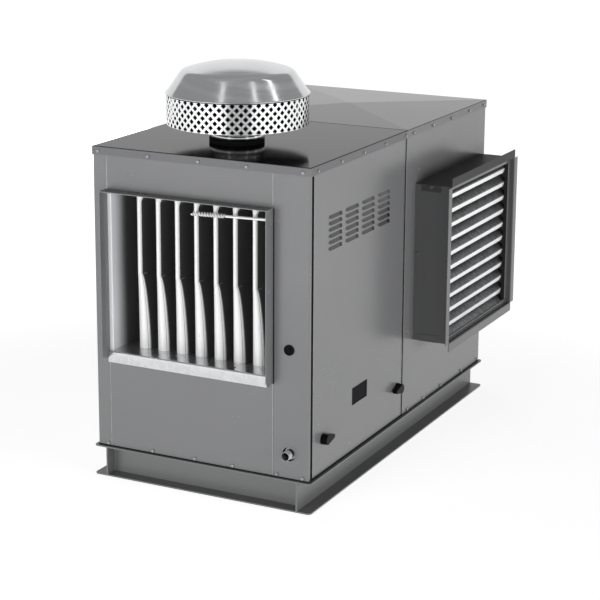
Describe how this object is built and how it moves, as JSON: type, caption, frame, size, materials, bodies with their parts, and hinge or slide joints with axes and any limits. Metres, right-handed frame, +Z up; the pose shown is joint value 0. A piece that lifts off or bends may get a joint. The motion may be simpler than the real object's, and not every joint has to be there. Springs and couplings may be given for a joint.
{
  "type": "duct gas heater",
  "caption": "Outdoor duct gas heater on a channel base: cabinet with an open duct collar, louvred access panel, side intake hood and round vent cap.",
  "frame": {"origin": "below the middle of the cabinet's front edge, on the surface that it stands on", "axes": "+Z up, -Y out of the duct opening, +X out of the intake hood and the access panel"},
  "size_m": [0.7805, 1.2775, 1.164],
  "materials": {
    "grey_paint": "semi-gloss baked enamel, mid grey",
    "rail_paint": "semi-gloss enamel over rolled channel, darker grey",
    "dark_paint": "satin enamel, dark grey",
    "galvanised": "zinc coated with a fine spangle",
    "aluminised_steel": "aluminised steel, bright, slightly stained",
    "bright_tube": "polished small tube",
    "spun_aluminium": "spun, fine rings",
    "perforated_aluminium": "bright sheet with diamond holes",
    "black_plastic": "black moulded",
    "dark_glass": "dark sight glass",
    "pipe_steel": "plain steel pipe end"
  },
  "bodies": {
    "root": {"base_rail_left": "rail_paint", "base_rail_right": "rail_paint", "base_rail_front": "rail_paint", "base_rail_rear": "rail_paint", "heater_floor": "grey_paint", "inlet_floor": "grey_paint", "front_post_left": "grey_paint", "front_post_right": "grey_paint", "front_panel_upper": "grey_paint", "front_panel_lower": "grey_paint", "collar_top": "grey_paint", "collar_left": "grey_paint", "collar_right": "grey_paint", "liner_pan": "galvanised", "liner_left": "galvanised", "liner_right": "galvanised", "liner_top": "galvanised", "heat_exchangers": "aluminised_steel", "limit_sensor": "bright_tube", "bulkhead": "galvanised", "heater_panel_left": "grey_paint", "inlet_panel_left": "grey_paint", "rear_panel": "grey_paint", "access_panel": "grey_paint", "sight_glass": "dark_glass", "inlet_panel_right": "grey_paint", "hood_top": "dark_paint", "hood_bottom": "dark_paint", "hood_near_side": "dark_paint", "hood_far_side": "dark_paint", "louvre_frame": "dark_paint", "louvre_blades": "galvanised", "heater_roof": "grey_paint", "inlet_roof": "grey_paint", "roof_collar": "dark_paint", "vent_base": "spun_aluminium", "vent_band": "perforated_aluminium", "vent_dome": "spun_aluminium", "gas_pipe": "pipe_steel", "pipe_bracket": "galvanised", "hole_plug": "black_plastic"},
    "front_latch": {"panel_latch_front": "black_plastic"},
    "rear_latch": {"panel_latch_rear": "black_plastic"}
  },
  "joints": [
    {"name": "front_latch_turn", "type": "hinge", "parent": "root", "child": "front_latch", "pos_m": [0.328, 0.085, 0.184], "axis": [1, 0, 0], "range_deg": [0, 90]},
    {"name": "rear_latch_turn", "type": "hinge", "parent": "root", "child": "rear_latch", "pos_m": [0.328, 0.574, 0.184], "axis": [-1, 0, 0], "range_deg": [0, 90]}
  ]
}
